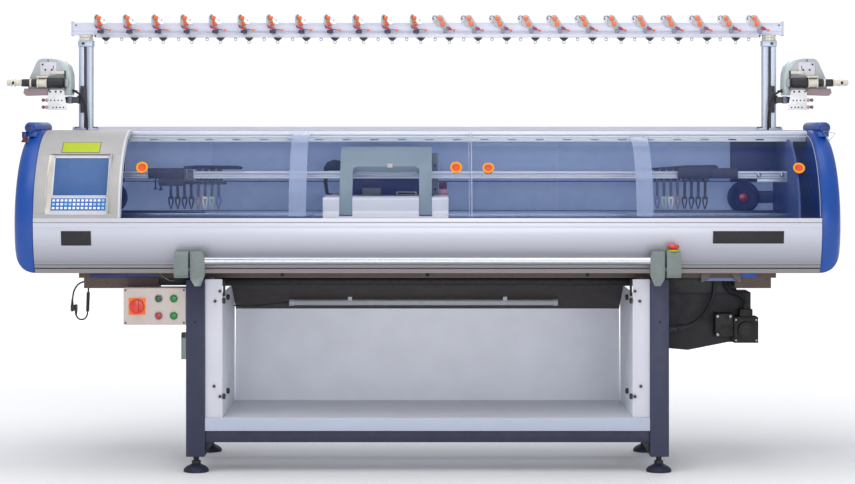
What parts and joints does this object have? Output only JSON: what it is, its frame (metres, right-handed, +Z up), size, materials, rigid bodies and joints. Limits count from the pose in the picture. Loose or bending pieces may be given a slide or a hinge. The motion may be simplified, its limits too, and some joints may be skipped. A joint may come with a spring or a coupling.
{
  "type": "flat knitting machine",
  "caption": "Computerised flat knitting machine on a leg stand: barrel body with sliding acrylic doors, carriage, yarn carriers, fabric bin, console and overhead yarn tension beam.",
  "frame": {"origin": "on the floor under the middle of the machine's overall box", "axes": "+X to the operator's right, +Y to the rear, +Z up"},
  "size_m": [3.26, 0.984, 1.722],
  "materials": {
    "frame_paint": "slate blue satin paint",
    "foot_iron": "black painted cast feet",
    "white_paint": "light grey-white powder coat",
    "dark_paint": "dark satin paint",
    "screw_black": "blackened screws",
    "lamp_white": "white strip light",
    "beam_iron": "grey-brown machined iron",
    "bed_steel": "ground needle-bed steel",
    "panel_aluminium": "silver anodised extrusion",
    "cap_blue": "gloss blue moulding",
    "console_grey": "light grey moulding",
    "bezel_cream": "cream moulding",
    "screen_blue": "blue display pane",
    "keypad_blue": "membrane keypad",
    "strip_white": "pale anodised strip",
    "rail_aluminium": "anodised profile",
    "unit_grey": "grey moulded plates",
    "knob_orange": "orange knobs",
    "eyelet_black": "black cups",
    "feeder_grey": "grey moulded housing",
    "bracket_black": "black bracket",
    "box_grey": "light grey box",
    "casting_grey": "grey-green cast brackets",
    "guard_grey": "dark grey sheet",
    "motor_black": "black motor",
    "belt_rubber": "black toothed belt",
    "cable_black": "black cable jacket",
    "door_acrylic": "smoky blue acrylic",
    "grip_orange": "orange finger grips",
    "cam_steel": "dark cam boxes",
    "cover_white": "white carriage covers",
    "arch_grey": "silver grey cast arch",
    "bar_chrome": "polished bar",
    "stop_red": "red mushroom",
    "switch_red": "red isolator knob",
    "button_green": "green button",
    "button_red": "red button",
    "roller_rubber": "black roller with cream spools",
    "carrier_dark": "dark yarn carriers"
  },
  "bodies": {
    "machine_frame": {"base_frame": "frame_paint", "levelling_feet": "foot_iron", "bin_floor": "white_paint", "bin_sides": "white_paint", "chute_panel": "white_paint", "panel_screws": "screw_black", "lamp": "lamp_white", "front_bed_beam": "beam_iron", "rear_bed_beam": "beam_iron", "front_needle_bed": "bed_steel", "carriage_rails": "bed_steel", "side_frames": "dark_paint", "yarn_rails": "rail_aluminium", "front_panel": "panel_aluminium", "end_caps": "cap_blue", "side_tensioners": "cap_blue", "console_housing": "console_grey", "screen_bezel": "bezel_cream", "screen": "screen_blue", "keypad": "keypad_blue", "slotted_strip": "strip_white", "cone_table": "white_paint", "rear_cover": "white_paint", "posts": "rail_aluminium", "top_beam": "rail_aluminium", "tension_units": "unit_grey", "tension_knobs": "knob_orange", "yarn_eyelets": "eyelet_black", "feeder_housings": "feeder_grey", "feeder_brackets": "bracket_black", "switch_box": "box_grey", "bar_brackets": "casting_grey", "motor_cover": "guard_grey", "takedown_motor": "motor_black", "drive_belt": "belt_rubber", "yarn_carriers": "carrier_dark", "machine_cables": "cable_black", "hanging_cable": "cable_black"},
    "door_left": {"door_left": "door_acrylic", "door_left_fittings": "grip_orange"},
    "door_right": {"door_right": "door_acrylic", "door_right_fittings": "grip_orange"},
    "carriage": {"cam_boxes": "cam_steel", "carriage_covers": "cover_white", "carriage_arch": "arch_grey"},
    "drive_pulley": {"drive_pulley": "cam_steel"},
    "idler_pulley": {"idler_pulley": "cam_steel"},
    "takedown_roller": {"takedown_roller": "belt_rubber"},
    "start_bar": {"start_bar": "bar_chrome"},
    "stop_button": {"stop_button": "stop_red"},
    "main_switch_handle": {"main_switch_handle": "switch_red"},
    "yarn_carrier_left": {"yarn_carrier_left": "carrier_dark"},
    "yarn_carrier_right": {"yarn_carrier_right": "carrier_dark"},
    "feeder_roller_left": {"feeder_roller_left": "roller_rubber"},
    "feeder_roller_right": {"feeder_roller_right": "roller_rubber"},
    "rear_needle_bed": {"rear_needle_bed": "bed_steel"},
    "push_button_1": {"push_button_1": "button_red"},
    "push_button_2": {"push_button_2": "button_green"},
    "push_button_3": {"push_button_3": "button_green"},
    "push_button_4": {"push_button_4": "button_green"}
  },
  "joints": [
    {"name": "door_left_slide", "type": "slide", "parent": "machine_frame", "child": "door_left", "axis": [1, 0, 0], "range_m": [0, 1.27]},
    {"name": "door_right_slide", "type": "slide", "parent": "machine_frame", "child": "door_right", "axis": [1, 0, 0], "range_m": [-1.27, 0]},
    {"name": "carriage_slide", "type": "slide", "parent": "machine_frame", "child": "carriage", "axis": [1, 0, 0], "range_m": [-0.96, 1.27]},
    {"name": "drive_pulley_turn", "type": "hinge", "parent": "machine_frame", "child": "drive_pulley", "pos_m": [1.248, 0.199, 1.003], "axis": [0, 1, 0], "continuous": true},
    {"name": "idler_pulley_turn", "type": "hinge", "parent": "machine_frame", "child": "idler_pulley", "pos_m": [-1.248, 0.199, 1.003], "axis": [0, 1, 0], "continuous": true},
    {"name": "racking_slide", "type": "slide", "parent": "machine_frame", "child": "rear_needle_bed", "axis": [1, 0, 0], "range_m": [-0.025, 0.025]},
    {"name": "takedown_roller_turn", "type": "hinge", "parent": "machine_frame", "child": "takedown_roller", "pos_m": [0, -0.104, 0.69], "axis": [1, 0, 0], "continuous": true},
    {"name": "start_bar_swing", "type": "hinge", "parent": "machine_frame", "child": "start_bar", "pos_m": [0, -0.47, 0.757], "axis": [1, 0, 0], "range_deg": [-8, 8]},
    {"name": "stop_button_press", "type": "slide", "parent": "machine_frame", "child": "stop_button", "axis": [0, 0, -1], "range_m": [0, 0.005], "stiffness_N_per_m": 1500, "springref_m": -0.002},
    {"name": "main_switch_turn", "type": "hinge", "parent": "machine_frame", "child": "main_switch_handle", "pos_m": [-1.075, -0.4, 0.616], "axis": [0, 1, 0], "range_deg": [0, 90]},
    {"name": "yarn_carrier_left_slide", "type": "slide", "parent": "machine_frame", "child": "yarn_carrier_left", "axis": [1, 0, 0], "range_m": [0, 1.6]},
    {"name": "yarn_carrier_right_slide", "type": "slide", "parent": "machine_frame", "child": "yarn_carrier_right", "axis": [1, 0, 0], "range_m": [-1.6, 0]},
    {"name": "feeder_roller_left_turn", "type": "hinge", "parent": "machine_frame", "child": "feeder_roller_left", "pos_m": [-1.45, 0.008, 1.451], "axis": [1, 0, 0], "continuous": true},
    {"name": "feeder_roller_right_turn", "type": "hinge", "parent": "machine_frame", "child": "feeder_roller_right", "pos_m": [1.45, 0.008, 1.451], "axis": [1, 0, 0], "continuous": true},
    {"name": "push_button_1_press", "type": "slide", "parent": "machine_frame", "child": "push_button_1", "axis": [0, 1, 0], "range_m": [0, 0.003], "stiffness_N_per_m": 800},
    {"name": "push_button_2_press", "type": "slide", "parent": "machine_frame", "child": "push_button_2", "axis": [0, 1, 0], "range_m": [0, 0.003], "stiffness_N_per_m": 800},
    {"name": "push_button_3_press", "type": "slide", "parent": "machine_frame", "child": "push_button_3", "axis": [0, 1, 0], "range_m": [0, 0.003], "stiffness_N_per_m": 800},
    {"name": "push_button_4_press", "type": "slide", "parent": "machine_frame", "child": "push_button_4", "axis": [0, 1, 0], "range_m": [0, 0.003], "stiffness_N_per_m": 800}
  ],
  "couplings": [
    {"joint": "drive_pulley_turn", "follows": "carriage_slide", "rad_per_m": -16.18},
    {"joint": "idler_pulley_turn", "follows": "carriage_slide", "rad_per_m": -16.18}
  ]
}
